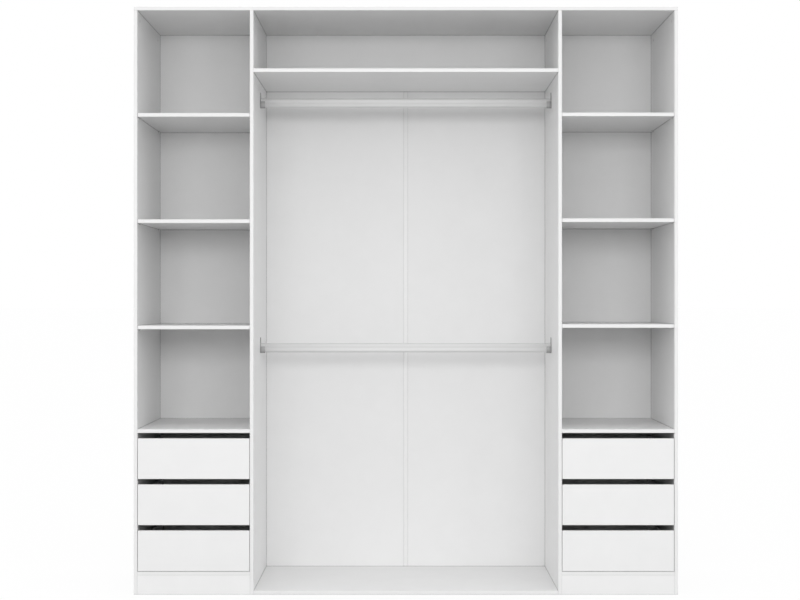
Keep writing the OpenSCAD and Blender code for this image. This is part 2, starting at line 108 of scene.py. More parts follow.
camera_data = bpy.data.cameras.new("camera")
camera = bpy.data.objects.new("camera", camera_data)
bpy.context.scene.collection.objects.link(camera)
bpy.context.scene.camera = camera
camera.location = (camera_side, cad_box[0].y - camera_distance, camera_height)
camera.rotation_euler = (math.pi / 2, 0, 0)
camera_data.lens = lens_mm
camera_data.sensor_width = sensor_mm
camera_data.shift_x = (picture_size[0] / 2 - vanishing_pixel[0]) / picture_size[0]
camera_data.shift_y = (vanishing_pixel[1] - picture_size[1] / 2) / picture_size[0]
print("camera at", [round(v, 3) for v in camera.location], "shift", round(camera_data.shift_y, 4))

# %% [markdown]
# ## A few hand tools
# Modelling by hand repeats the same moves: start with nothing selected, add a primitive, pick some
# faces, edges or corners by where they are, and use a tool on them. These helpers are those moves.
# Each piece's mesh is brought into the frame's own coordinates at once, so that a place in a helper
# is a place on the wardrobe.

# %% Helpers for selecting and shaping
same_place = 0.01 * MM
merge_distance = 0.005 * MM
sharp_angle = math.radians(35)
smooth_angle = math.radians(30)


def start_fresh():
    """Leaves nothing selected, because an operator acts on all that is selected."""
    bpy.ops.object.select_all(action="DESELECT")


def take(piece):
    """Selects the piece alone, ready for the next tool."""
    start_fresh()
    piece.select_set(True)
    bpy.context.view_layer.objects.active = piece


def settle(name):
    """Names the piece that was just added and moves its place from the object into the mesh."""
    piece = bpy.context.object
    piece.name = name
    bpy.ops.object.transform_apply(location=True, rotation=True, scale=True)
    return piece


def edit(piece):
    """Opens the piece alone in edit mode, with nothing picked."""
    take(piece)
    bpy.ops.object.mode_set(mode="EDIT")
    bpy.ops.mesh.select_all(action="DESELECT")


def pick(piece, kind, test):
    """Picks the faces, edges or corners whose every corner passes the test, and no others."""
    bpy.ops.mesh.select_mode(type=kind)
    bpy.ops.mesh.select_all(action="DESELECT")
    mesh = bmesh.from_edit_mesh(piece.data)
    parts = {"FACE": mesh.faces, "EDGE": mesh.edges, "VERT": mesh.verts}[kind]
    for part in parts:
        corners = [part] if kind == "VERT" else part.verts
        if all(test(corner.co) for corner in corners):
            part.select_set(True)
    mesh.select_flush_mode()
    bmesh.update_edit_mesh(piece.data)


def push(x=0, y=0, z=0):
    """Extrudes what is picked by that much."""
    bpy.ops.mesh.extrude_region_move(TRANSFORM_OT_translate={"value": (x, y, z)})


def cut_level(z, keep_upper, closed=True):
    """Cuts the piece being edited level at z, keeps one part and fills the cut if it is closed."""
    bpy.ops.mesh.select_all(action="SELECT")
    bpy.ops.mesh.bisect(plane_co=(0, 0, z), plane_no=(0, 0, 1), clear_inner=keep_upper,
                        clear_outer=not keep_upper, use_fill=closed)


def done():
    """Turns every face outwards and closes edit mode."""
    bpy.ops.mesh.select_all(action="SELECT")
    bpy.ops.mesh.normals_make_consistent(inside=False)
    bpy.ops.object.mode_set(mode="OBJECT")


def apply_modifier(piece, kind, **settings):
    """Adds one modifier with its settings and applies it."""
    take(piece)
    modifier = piece.modifiers.new(kind.lower(), kind)
    for name, value in settings.items():
        setattr(modifier, name, value)
    bpy.ops.object.modifier_apply(modifier=modifier.name)


def smooth_by_angle(piece):
    """Shades the curved faces smooth and leaves the corners between them crisp."""
    take(piece)
    bpy.ops.object.shade_smooth_by_angle(angle=smooth_angle)


def round_edges(piece, width):
    """Rounds every sharp edge, and shades the curved faces smooth."""
    apply_modifier(piece, "BEVEL", width=width, segments=2, limit_method="ANGLE",
                   angle_limit=sharp_angle)
    edit(piece)
    bpy.ops.mesh.select_all(action="SELECT")
    bpy.ops.mesh.remove_doubles(threshold=merge_distance)
    bpy.ops.mesh.dissolve_degenerate(threshold=merge_distance)
    done()
    smooth_by_angle(piece)


def near(a, b):
    """True for two lengths that are the same to a hundredth of a millimetre."""
    return abs(a - b) < same_place


# %% [markdown]
# ## Where the small parts are
# A node of the frame can hold many small solids, such as all the screws. Splitting a copy of its mesh
# into its loose parts gives each one's box, and the boxes say where the copies of a modelled fitting
# go. The frame's meshes are loose triangles, so the copy's corners are merged before it is split.

# %% Find the solids of a node
corner_merge = 0.001 * MM


def solids_of(node):
    """The lowest and highest corner of each separate solid in a node, sorted by place."""
    mesh = bmesh.new()
    mesh.from_mesh(frame["nodes"][node].data)
    bmesh.ops.remove_doubles(mesh, verts=mesh.verts, dist=corner_merge)
    seen, boxes = set(), []
    for first in mesh.verts:
        if first in seen:
            continue
        seen.add(first)
        queue, places = [first], []
        while queue:
            vert = queue.pop()
            places.append(vert.co.copy())
            for edge in vert.link_edges:
                other = edge.other_vert(vert)
                if other not in seen:
                    seen.add(other)
                    queue.append(other)
        boxes.append((Vector(map(min, zip(*places))), Vector(map(max, zip(*places)))))
    mesh.free()
    return sorted(boxes, key=lambda box: (round(box[0].z, 3), round(box[0].x, 3), round(box[0].y, 3)))


for node in ("rail_brackets", "rail_bracket_screws", "shelf_pins", "cam_locks", "cabinet_runners"):
    print(node, "holds", len(solids_of(node)), "solids")

# %% [markdown]
# ## Cutting, joining and copying
# Holes and pockets are cut with a Boolean: a second shape takes its form out of the first and is then
# thrown away. A fitting that repeats is modelled once, at one of its places. Each further piece is a
# copy with a mesh of its own, moved to its place and mirrored where it sits on the other side.

# %% Helpers for cutting, joining and copying
overshoot = 1 * MM  # How far a cutter or a welded shape reaches past a face
new_pieces = []


def cut_away(piece, cutter):
    """Takes the cutter's shape out of the piece and removes the cutter."""
    apply_modifier(piece, "BOOLEAN", operation="DIFFERENCE", solver="EXACT", object=cutter)
    bpy.data.objects.remove(cutter)


def weld_on(piece, other):
    """Makes the other shape one with the piece."""
    apply_modifier(piece, "BOOLEAN", operation="UNION", solver="EXACT", object=other)
    bpy.data.objects.remove(other)


def rod_x(radius, start, end, y, z, corners=32):
    """A closed cylinder along X from start to end."""
    start_fresh()
    bpy.ops.mesh.primitive_cylinder_add(vertices=corners, radius=radius, depth=end - start,
                                        location=((start + end) / 2, y, z),
                                        rotation=(0, math.pi / 2, 0))
    return settle("rod")


def block(low, high):
    """A box between two corners."""
    start_fresh()
    bpy.ops.mesh.primitive_cube_add(size=1, location=(Vector(low) + Vector(high)) / 2,
                                    scale=Vector(high) - Vector(low))
    return settle("block")


def copy_of(piece):
    """A copy of the piece with a mesh of its own."""
    take(piece)
    bpy.ops.object.duplicate(linked=False)
    return bpy.context.object


def copy_to(piece, home, box, mirrored):
    """A copy of the piece, moved from its home box to another, and mirrored if it is on the other side."""
    twin = copy_of(piece)
    edit(twin)
    bpy.ops.mesh.select_all(action="SELECT")
    shift = box[0] - home[0]
    if mirrored:
        bpy.ops.transform.resize(value=(-1, 1, 1), center_override=(home[0].x, 0, 0))
        shift.x = box[1].x - home[0].x
    bpy.ops.transform.translate(value=shift)
    done()
    return twin


def finish_piece(piece, name, body, slot, node):
    """Names the piece, sets it on its body and lets it stand for the node of the frame."""
    piece.name = name
    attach(piece, body)
    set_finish(piece, slot)
    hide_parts(node)
    new_pieces.append(piece)


# %% [markdown]
# ## The hanging rails
# Each rail is an oval aluminium tube with a fine groove along each face. It could be a curve with a
# profile, but half an oval is quick to build by hand and the other half is a mirror image: an open
# cylinder is cut in half, its two long edges are drawn down into the flat faces, with a step inwards
# where the groove is, and Mirror, Solidify and Bevel do the rest.

# %% Model a rail
rail_wall = 1.5 * MM
rail_line_half = 1.5 * MM
rail_line_depth = 0.5 * MM
rail_rounding = 0.15 * MM


def model_rail(node):
    """An oval tube in the place of a rail's node, with a fine groove along each face."""
    low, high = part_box(node)
    middle = (low + high) / 2
    radius = (high.y - low.y) / 2
    flat_half = (high.z - low.z) / 2 - radius
    start_fresh()
    bpy.ops.mesh.primitive_cylinder_add(vertices=64, radius=radius, depth=high.x - low.x,
                                        end_fill_type="NOTHING", location=middle,
                                        rotation=(0, math.pi / 2, 0))
    rail = settle(node + "_tube")
    edit(rail)
    cut_level(middle.z, keep_upper=True, closed=False)
    bpy.ops.mesh.select_all(action="SELECT")
    bpy.ops.transform.translate(value=(0, 0, flat_half))
    long_edge_z = middle.z + flat_half
    for side in (-1, 1):
        face_y = middle.y + side * radius
        pick(rail, "EDGE", lambda co: near(co.z, long_edge_z) and near(co.y, face_y))
        push(z=rail_line_half - flat_half)
        push(y=-side * rail_line_depth)
        push(z=-rail_line_half)
    done()
    mirror_at = bpy.data.objects.new("mirror_at", None)
    bpy.context.scene.collection.objects.link(mirror_at)
    mirror_at.location = middle
    apply_modifier(rail, "MIRROR", use_axis=(False, False, True), mirror_object=mirror_at,
                   use_clip=True, merge_threshold=same_place)
    bpy.data.objects.remove(mirror_at)
    edit(rail)
    done()
    apply_modifier(rail, "SOLIDIFY", thickness=rail_wall, offset=-1, use_even_offset=True)
    round_edges(rail, rail_rounding)
    finish_piece(rail, node + "_tube", "carcass", "rail_metal", node)
    return rail


rails = [model_rail("upper_rail"), model_rail("lower_rail")]
print("rails:", [(rail.name, len(rail.data.polygons)) for rail in rails])

# %% [markdown]
# ## The rail brackets
# A bracket is a zinc casting: an open cup that carries the end of the rail, on a plate with a round
# tab above. The cup starts as a cylinder that is cut at its middle and drawn up to the rim, and the
# tab as a thinner one drawn down. Their union is hollowed for the rail, sunk for two screw heads, and
# all its edges are softened, as on a casting. It is made once, at the lower left, and copied.

# %% Model one bracket
cup_radius = 11.8 * MM
cup_wall = 2.5 * MM
cup_depth = 22.8 * MM
cup_rim = 6 * MM
plate_thickness = 3 * MM
tab_radius = 7 * MM
screw_head_radius = 3.5 * MM
screw_head_height = 2 * MM
screw_head_fit = 0.3 * MM
bracket_hole_radius = 1.8 * MM
bracket_rounding = 0.4 * MM


def cup_shape(radius, start, end, y, bottom, top):
    """A solid with a half-round underside: a cylinder cut at its middle and drawn up."""
    cup = rod_x(radius, start, end, y, bottom + radius, corners=64)
    edit(cup)
    cut_level(bottom + radius, keep_upper=False)
    pick(cup, "FACE", lambda co: near(co.z, bottom + radius))
    push(z=top - bottom - radius)
    done()
    return cup


def model_bracket(low, high):
    """A bracket that fills the box between two corners, with its plate on the left."""
    y = (low.y + high.y) / 2
    rail_z = low.z + cup_depth
    tab_z = high.z - tab_radius
    plate_face = low.x + plate_thickness
    bracket = cup_shape(cup_radius, low.x, high.x, y, low.z, rail_z + cup_rim)
    tab = rod_x(tab_radius, low.x, plate_face, y, tab_z, corners=48)
    edit(tab)
    cut_level(tab_z, keep_upper=True)
    pick(tab, "FACE", lambda co: near(co.z, tab_z))
    push(z=rail_z - tab_z)
    done()
    weld_on(bracket, tab)
    cut_away(bracket, cup_shape(cup_radius - cup_wall, plate_face, high.x + overshoot, y,
                                low.z + cup_wall, rail_z + 2 * cup_rim))
    for z in (rail_z, tab_z):
        cut_away(bracket, rod_x(screw_head_radius + screw_head_fit, plate_face - screw_head_height,
                                plate_face + overshoot, y, z))
        cut_away(bracket, rod_x(bracket_hole_radius, low.x - overshoot, plate_face, y, z, corners=24))
    round_edges(bracket, bracket_rounding)
    return bracket


bracket_home = solids_of("rail_brackets")[0]
first_bracket = model_bracket(*bracket_home)
print("bracket:", len(first_bracket.data.polygons), "faces")

# %% Copy the bracket to its four places
def place_copies(piece, home, places, name, slot):
    """Puts a copy on every place, which is a node, its body, a box, and whether it is mirrored."""
    for number, (node, body, box, mirrored) in enumerate(places, 1):
        finish_piece(copy_to(piece, home, box, mirrored), f"{name}_{number:02d}", body, slot, node)
    print(len(places), "of", name)


def on_the_right(box):
    """True for a fitting on the right side of its bay."""
    middle = (box[0].x + box[1].x) / 2
    for shelf in ("left_fixed_shelf", "right_fixed_shelf"):
        low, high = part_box(shelf)
        if low.x < middle < high.x:
            return middle > (low.x + high.x) / 2
    return middle > 0


def fixed_places(node):
    """The places of a node's solids that sit on the carcass and are mirrored on the right of a bay."""
    return [(node, "carcass", box, on_the_right(box)) for box in solids_of(node)]


place_copies(first_bracket, bracket_home, fixed_places("rail_brackets"), "rail_bracket", "bracket_metal")

# %% [markdown]
# ## The screws
# Every screw here is the same small pan head with a cross recess. The head is a short cylinder with a
# bevelled rim, its underside is inset and drawn out into the shank, and two crossed blocks cut the
# recess. Only the heads are ever seen, so the shank stays plain, with a drawn-in point.

# %% Model one screw
shank_radius = 1.75 * MM
screw_head_bevel = 0.9 * MM
screw_cross = (2.1 * MM, 0.45 * MM)  # Half its length and half its width
screw_cross_depth = 1.1 * MM
point_length = 2 * MM
point_share = 0.15


def model_screw(low, high):
    """A screw that fills the box between two corners, with its head towards +X."""
    y = (low.y + high.y) / 2
    z = (low.z + high.z) / 2
    underside = high.x - screw_head_height
    screw = rod_x(screw_head_radius, underside, high.x, y, z, corners=24)
    edit(screw)
    pick(screw, "EDGE", lambda co: near(co.x, high.x))
    bpy.ops.mesh.bevel(offset=screw_head_bevel, segments=3, affect="EDGES")
    pick(screw, "FACE", lambda co: near(co.x, underside))
    bpy.ops.mesh.inset(thickness=screw_head_radius - shank_radius)
    push(x=low.x - underside + point_length)
    push(x=-point_length)
    bpy.ops.transform.resize(value=(1, point_share, point_share), center_override=(low.x, y, z))
    done()
    for half_y, half_z in (screw_cross, reversed(screw_cross)):
        cut_away(screw, block((high.x - screw_cross_depth, y - half_y, z - half_z),
                              (high.x + overshoot, y + half_y, z + half_z)))
    smooth_by_angle(screw)
    return screw


screw_home = solids_of("rail_bracket_screws")[0]
first_screw = model_screw(*screw_home)
print("screw:", len(first_screw.data.polygons), "faces")

# %% Copy the screw to the brackets and the runners
place_copies(first_screw, screw_home, fixed_places("rail_bracket_screws"), "bracket_screw", "screw_steel")
place_copies(first_screw, screw_home, fixed_places("runner_screws"), "runner_screw", "screw_steel")

# %% [markdown]
# ## The shelf pins
# A shelf lies on four pins. Each has a round shank in the upright and a nose with a flat top. The nose
# is a cylinder cut flat, and the shank a thinner one welded on. The photograph shows no dark pins
# under the shelves, so they are of white plastic.

# %% Model one shelf pin and copy it
pin_radius = 3.5 * MM
pin_shank_radius = 2.5 * MM
pin_shank_length = 8 * MM
pin_rounding = 0.3 * MM


def model_pin(low, high):
    """A pin that fills the box between two corners, with its shank in the upright on the left."""
    y = (low.y + high.y) / 2
    z = low.z + pin_radius
    wall = low.x + pin_shank_length
    pin = rod_x(pin_radius, wall, high.x, y, z)
    edit(pin)
    cut_level(high.z, keep_upper=False)
    done()
    weld_on(pin, rod_x(pin_shank_radius, low.x, wall + overshoot, y, z, corners=24))
    round_edges(pin, pin_rounding)
    return pin


pin_home = solids_of("shelf_pins")[0]
first_pin = model_pin(*pin_home)
print("pin:", len(first_pin.data.polygons), "faces")
place_copies(first_pin, pin_home, fixed_places("shelf_pins"), "shelf_pin", "white_plastic")

# %% [markdown]
# ## The cam locks
# A cam lock is a short disc in a round pocket of a board. It grips the head of a bolt and is turned
# with a screwdriver, so it has a cross recess, and an arrow that points at the bolt. The disc is
# modelled lying flat, with a bevelled rim and a face that is inset and sunk a little, and the recess,
# the arrow and the bolt's tunnel are cut out of it.

# %% Model one cam lock
cam_radius = 7.5 * MM
cam_height = 12 * MM
cam_rim = 0.9 * MM
cam_rim_bevel = 0.4 * MM
cam_face_sink = 0.4 * MM
cam_cross = (3.6 * MM, 0.8 * MM)  # Half its length and half its width
cam_cross_depth = 2 * MM
arrow_tip_x = -5.8 * MM
arrow_foot_x = -4.4 * MM
arrow_half_width = 1.1 * MM
arrow_depth = 0.8 * MM
arrow_tip_share = 0.05
tunnel_radius = 4 * MM
tunnel_end_x = 3 * MM
tunnel_z = cam_height - 4.5 * MM


def model_cam():
    """A lock that opens downwards, with its face at the origin and its bolt coming from -X."""
    start_fresh()
    bpy.ops.mesh.primitive_cylinder_add(vertices=32, radius=cam_radius, depth=cam_height,
                                        location=(0, 0, cam_height / 2))
    cam = settle("cam")
    edit(cam)
    pick(cam, "EDGE", lambda co: near(co.z, 0))
    bpy.ops.mesh.bevel(offset=cam_rim_bevel, segments=2, affect="EDGES")
    pick(cam, "FACE", lambda co: near(co.z, 0))
    bpy.ops.mesh.inset(thickness=cam_rim)
    push(z=cam_face_sink)
    done()
    for half_x, half_y in (cam_cross, reversed(cam_cross)):
        cut_away(cam, block((-half_x, -half_y, -overshoot), (half_x, half_y, cam_cross_depth)))
    arrow = block((arrow_tip_x, -arrow_half_width, -overshoot),
                  (arrow_foot_x, arrow_half_width, arrow_depth))
    edit(arrow)
    pick(arrow, "EDGE", lambda co: near(co.x, arrow_tip_x))
    bpy.ops.transform.resize(value=(1, arrow_tip_share, 1), center_override=(0, 0, 0))
    done()
    cut_away(cam, arrow)
    cut_away(cam, rod_x(tunnel_radius, -cam_radius - overshoot, tunnel_end_x, 0, tunnel_z, corners=24))
    smooth_by_angle(cam)
    return cam


first_cam = model_cam()
print("cam lock:", len(first_cam.data.polygons), "faces")

# %% [markdown]
# A lock's box is 12 mm high along the way it opens and 15 mm wide in the other two, so the box itself
# says how to turn the copy. The locks under the towers' boards open downwards, those in the centre
# shelf upwards, those in the plinths backwards, and those at the top of the uprights into the bays.

# %% Copy the cam lock to its places
def cam_place(box):
    """Where the face of a lock is, and how far the lock is turned about X, Y and Z."""
    low, high = box
    middle = (low + high) / 2
    thinnest = min("xyz", key=lambda axis: getattr(high - low, axis))
    right_end = math.pi if on_the_right(box) else 0
    if thinnest == "y":
        return (middle.x, high.y, middle.z), (math.pi / 2, right_end, 0)
    if thinnest == "x":
        if middle.x < 0:
            return (high.x, middle.y, middle.z), (0, math.pi / 2, math.pi)
        return (low.x, middle.y, middle.z), (0, math.pi / 2, 0)
    if low.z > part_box("centre_shelf")[0].z:
        return (middle.x, middle.y, high.z), (math.pi, 0, right_end)
    return (middle.x, middle.y, low.z), (0, 0, right_end)


cam_boxes = solids_of("cam_locks")
for number, box in enumerate(cam_boxes, 1):
    cam = copy_of(first_cam)
    cam.location, cam.rotation_euler = cam_place(box)
    bpy.ops.object.transform_apply(location=True, rotation=True, scale=True)
    finish_piece(cam, f"cam_lock_{number:02d}", "carcass", "cam_lacquer", "cam_locks")
print(len(cam_boxes), "cam locks")

# %% [markdown]
# ## The drawer runners
# Each runner is a strip of zinc-plated steel, folded into a channel that lies on the upright. A nylon
# liner is pressed into it, and a narrower steel channel on the drawer slides in the liner. All three
# are the same shape in three sizes. A plane is the web, its long edges are drawn out into the
# flanges, the two folds are bevelled round, and Solidify gives the sheet its thickness.

# %% Model the channel on the upright and its liner
steel_thickness = 1.2 * MM
steel_fold = 1.6 * MM
liner_thickness = 1.5 * MM
liner_fold = 1.2 * MM
hole_fit = 0.2 * MM
liner_hole_fit = 1 * MM
through_web = 2.5 * MM
slot_radius = 2.2 * MM
slot_stretch = 8 * MM
slots_behind_screw = (55 * MM, 120 * MM)


def model_channel(box, thickness, fold):
    """A channel that is open towards +X, with its web on the left face of the box."""
    low, high = box
    middle = (low + high) / 2
    length = high.y - low.y
    start_fresh()
    bpy.ops.mesh.primitive_plane_add(size=length, location=(low.x, middle.y, middle.z),
                                     rotation=(0, math.pi / 2, 0))
    channel = settle("channel")
    edit(channel)
    bpy.ops.mesh.select_all(action="SELECT")
    bpy.ops.transform.resize(value=(1, 1, (high.z - low.z) / length), center_override=middle)
    for z in (low.z, high.z):
        pick(channel, "EDGE", lambda co: near(co.z, z))
        push(x=high.x - low.x)
    for z in (low.z, high.z):
        pick(channel, "EDGE", lambda co: near(co.z, z) and near(co.x, low.x))
        bpy.ops.mesh.bevel(offset=fold, segments=4, affect="EDGES")
    done()
    web = min(channel.data.polygons, key=lambda face: face.center.x)
    if web.normal.x > 0:
        edit(channel)
        bpy.ops.mesh.select_all(action="SELECT")
        bpy.ops.mesh.flip_normals()
        bpy.ops.object.mode_set(mode="OBJECT")
    apply_modifier(channel, "SOLIDIFY", thickness=thickness, offset=-1, use_even_offset=True)
    return channel


def cut_slot(channel, box, radius, y, stretch=0.0):
    """Cuts a round hole through the web, or a slot where the hole's one half is moved along Y."""
    z = (box[0].z + box[1].z) / 2
    hole = rod_x(radius, box[0].x - overshoot, box[0].x + through_web, y, z, corners=24)
    if stretch:
        edit(hole)
        pick(hole, "VERT", lambda co: co.y > y)
        bpy.ops.transform.translate(value=(0, stretch, 0))
        done()
    cut_away(channel, hole)


channel_home = solids_of("cabinet_runners")[0]
liner_home = solids_of("runner_liners")[0]
first_channel = model_channel(channel_home, steel_thickness, steel_fold)
first_liner = model_channel(liner_home, liner_thickness, liner_fold)
screw_ys = [(low.y + high.y) / 2 for low, high in solids_of("runner_screws")
            if channel_home[0].z < low.z < channel_home[1].z and low.x < channel_home[1].x]
screw_ys = sorted(set(round(y, 5) for y in screw_ys))
for y in screw_ys:
    cut_slot(first_channel, channel_home, shank_radius + hole_fit, y)
    cut_slot(first_liner, liner_home, screw_head_radius + liner_hole_fit, y)
for y in screw_ys[:-1]:
    for distance in slots_behind_screw:
        cut_slot(first_channel, channel_home, slot_radius, y + distance, slot_stretch)
for piece in (first_channel, first_liner):
    smooth_by_angle(piece)
print("channel:", len(first_channel.data.polygons), "faces, screws at", screw_ys)
place_copies(first_channel, channel_home, fixed_places("cabinet_runners"), "runner_channel", "runner_steel")
place_copies(first_liner, liner_home, fixed_places("runner_liners"), "runner_liner", "nylon")

# %% [markdown]
# The drawer's own channels and their screws share one node in each drawer. The long solids in it are
# the channels, and the short ones the screws. The channel on the right of a drawer is open towards +X,
# so it is the one to model, and the left one is its mirror image.

# %% Model the drawer's channel and copy it with its screws
long_solid = 50 * MM
member_slot_shares = (0.3, 0.5, 0.7)


def drawer_places(part, wanted, mirrored):
    """The places of those solids of a drawer part that are wanted, in all the drawers."""
    places = []
    for body in sorted(frame["bodies"]):
        if body != "carcass":
            node = f"{body}_{part}"
            places += [(node, body, box, mirrored(box)) for box in solids_of(node) if wanted(box)]
    return places


def is_long(box):
    """True for a channel or a side board, and False for a screw or a back board."""
    return box[1].y - box[0].y > long_solid


def on_the_left(box):
    """True for a fitting on the left side of its bay."""
    return not on_the_right(box)


member_places = drawer_places("runners", is_long, on_the_left)
member_home = next(box for node, body, box, mirrored in member_places if not mirrored)
first_member = model_channel(member_home, steel_thickness, steel_fold)
member_screw_places = drawer_places("runners", lambda box: not is_long(box), on_the_left)
member_screw_ys = [(box[0].y + box[1].y) / 2 for node, body, box, mirrored in member_screw_places
                   if body == member_places[0][1] and not mirrored]
for y in member_screw_ys:
    cut_slot(first_member, member_home, shank_radius + hole_fit, y)
for share in member_slot_shares:
    y = member_home[0].y + share * (member_home[1].y - member_home[0].y)
    cut_slot(first_member, member_home, slot_radius, y, slot_stretch)
smooth_by_angle(first_member)
place_copies(first_member, member_home, member_places, "drawer_channel", "runner_steel")
place_copies(first_screw, screw_home, member_screw_places, "drawer_channel_screw", "screw_steel")

# %% [markdown]
# ## The drawer boxes
# The side boards and the back board of a drawer are wrapped in foil, so their edges are a little
# round. A side board is a block with a groove cut for the bottom, and one is made and mirrored. The
# front and the thin bottom are right as they are in the frame.

# %% Model a side board and a back board
wall_places = drawer_places("walls", is_long, on_the_right)
back_places = drawer_places("walls", lambda box: not is_long(box), lambda box: False)
bottom_low, bottom_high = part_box(wall_places[0][1] + "_bottom")
side_home = wall_places[0][2]
back_home = back_places[0][2]
groove_fit = 0.2 * MM
groove_end_gap = 0.5 * MM
wall_rounding = 0.6 * MM
groove_low = (bottom_low.x - groove_end_gap, side_home[0].y - overshoot, bottom_low.z - groove_fit)
groove_high = (bottom_high.x, side_home[1].y + overshoot, bottom_high.z + groove_fit)
first_side = block(*side_home)
cut_away(first_side, block(groove_low, groove_high))
round_edges(first_side, wall_rounding)
first_back = block(*back_home)
round_edges(first_back, wall_rounding)
place_copies(first_side, side_home, wall_places, "drawer_side_board", "drawer_board")
place_copies(first_back, back_home, back_places, "drawer_back_board", "drawer_board")

# %% [markdown]
# ## The joining strip
# The two lower back panels meet in a plastic strip with an H-shaped section. Its front flange shows as
# a flat band with two fine outlines. Two slim blocks are the flanges, a third is the web between
# them, and the edges are rounded. The rounded edges and the painted corner shade, which darkens the
# back and the strip where they meet, together make the outlines.

# %% Model the joining strip
strip_low, strip_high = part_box("back_joining_strip")
strip_wall = 1 * MM
strip_rounding = 0.35 * MM
strip_x = (strip_low.x + strip_high.x) / 2
strip = block(strip_low, (strip_high.x, strip_low.y + strip_wall, strip_high.z))
weld_on(strip, block((strip_low.x, strip_high.y - strip_wall, strip_low.z), strip_high))
weld_on(strip, block((strip_x - strip_wall / 2, strip_low.y + strip_wall / 2, strip_low.z),
                     (strip_x + strip_wall / 2, strip_high.y - strip_wall / 2, strip_high.z)))
round_edges(strip, strip_rounding)
finish_piece(strip, "joining_strip", "carcass", "white_plastic", "back_joining_strip")
print("joining strip:", len(strip.data.polygons), "faces")

# %% [markdown]
# ## The nails
# The backs are nailed on. A nail has a thin flat head, whose rim is bevelled and whose underside is
# inset and drawn out into the shank. From the back of the wardrobe they show as rows of small studs.

# %% Model one nail and copy it
nail_radius = 0.8 * MM
nail_head_height = 0.8 * MM
nail_head_bevel = 0.3 * MM


def model_nail(low, high):
    """A nail that fills the box between two corners, with its head towards the wall."""
    middle = (low + high) / 2
    underside = high.y - nail_head_height
    head_radius = (high.x - low.x) / 2
    start_fresh()
    bpy.ops.mesh.primitive_cylinder_add(vertices=16, radius=head_radius, depth=nail_head_height,
                                        location=(middle.x, high.y - nail_head_height / 2, middle.z),
                                        rotation=(math.pi / 2, 0, 0))
    nail = settle("nail")
    edit(nail)
    pick(nail, "EDGE", lambda co: near(co.y, high.y))
    bpy.ops.mesh.bevel(offset=nail_head_bevel, segments=2, affect="EDGES")
    pick(nail, "FACE", lambda co: near(co.y, underside))
    bpy.ops.mesh.inset(thickness=head_radius - nail_radius)
    push(y=low.y - underside + point_length)
    push(y=-point_length)
    bpy.ops.transform.resize(value=(point_share, 1, point_share),
                             center_override=(middle.x, low.y, middle.z))
    done()
    smooth_by_angle(nail)
    return nail


nail_home = solids_of("back_nails")[0]
first_nail = model_nail(*nail_home)
place_copies(first_nail, nail_home, fixed_places("back_nails"), "back_nail", "screw_steel")

# %% [markdown]
# The pieces that were only copied from have done their work and are removed.

# %% Remove the pieces that were copied from
for piece in (first_bracket, first_screw, first_pin, first_cam, first_channel, first_liner,
              first_member, first_side, first_back, first_nail):
    bpy.data.objects.remove(piece)
print(len(new_pieces), "new pieces")

# %% [markdown]
# ## Finishes
# A finish is built on the Principled shader. Its plain values sit on the shader's own sockets, and
# nodes add what changes over the surface: faint clouds in the colour and gloss, and a fine relief.
# Object coordinates are in metres here, so a noise scale of 600 has features of about a millimetre.

# %% Helpers for finishes
middle_range = (0.3, 0.7)  # Where most of a noise's values are
mix_first, mix_second, mix_result = 6, 7, 2  # The colour sockets of a Mix node


def grey(value):
    """An opaque grey."""
    return (value, value, value, 1)


def start_material(name, tone, roughness, metallic=0.0):
    """A grey material with plain values on its shader, and that shader."""
    material = bpy.data.materials.new(name)
    material.use_nodes = True
    shader = material.node_tree.nodes["Principled BSDF"]
    shader.inputs["Base Color"].default_value = grey(tone)
    shader.inputs["Roughness"].default_value = roughness
    shader.inputs["Metallic"].default_value = metallic
    return material, shader


def feed(owner, value, socket):
    """Links a value that is an output to the socket, and sets any other on it."""
    if isinstance(value, bpy.types.NodeSocket):
        owner.node_tree.links.new(value, socket)
    else:
        socket.default_value = value


def add_node(owner, kind, **values):
    """Adds a node to a material or the world, with its inputs and settings by name."""
    node = owner.node_tree.nodes.new(kind)
    for name, value in values.items():
        socket = node.inputs.get(name.replace("_", " "))
        if socket is None:
            setattr(node, name, value)
        else:
            feed(owner, value, socket)
    return node


def calculate(owner, operation, *values):
    """One step of arithmetic on numbers and outputs."""
    step = add_node(owner, "ShaderNodeMath", operation=operation)
    for value, socket in zip(values, step.inputs):
        feed(owner, value, socket)
    return step.outputs["Value"]


def place_on(material, stretch=(1, 1, 1)):
    """Object coordinates, stretched where a finish has a direction."""
    coordinates = add_node(material, "ShaderNodeTexCoord")
    mapping = add_node(material, "ShaderNodeMapping", Vector=coordinates.outputs["Object"], Scale=stretch)
    return mapping.outputs["Vector"]


def clouds(material, place, scale, detail=3.0):
    """A noise of a given scale, from 0 to 1."""
    noise = add_node(material, "ShaderNodeTexNoise", Vector=place, Scale=scale, Detail=detail,
                     Roughness=0.6)
    return noise.outputs["Fac"]


def vary_tone(material, factor, dark, light):
    """Runs the grey from dark to light along the factor's middle range."""
    ramp = add_node(material, "ShaderNodeValToRGB", Fac=factor)
    for stop, position, tone in zip(ramp.color_ramp.elements, middle_range, (dark, light)):
        stop.position = position
        stop.color = grey(tone)
    return ramp.outputs["Color"]


def drift(material, factor, tone, width):
    """A grey that drifts by that width to either side of its tone."""
    return vary_tone(material, factor, tone - width, tone + width)


def blend_colour(material, factor, first, second, blend_type="MIX"):
    """The first colour where the factor is 0, and the second blended over it where it is 1."""
    mix = add_node(material, "ShaderNodeMix", data_type="RGBA", blend_type=blend_type, Factor=factor)
    feed(material, first, mix.inputs[mix_first])
    feed(material, second, mix.inputs[mix_second])
    return mix.outputs[mix_result]


def spread(material, value, start, end, first, last):
    """Runs from first to last while the value goes from start to end."""
    node = add_node(material, "ShaderNodeMapRange", Value=value, From_Min=start, From_Max=end,
                    To_Min=first, To_Max=last)
    return node.outputs["Result"]


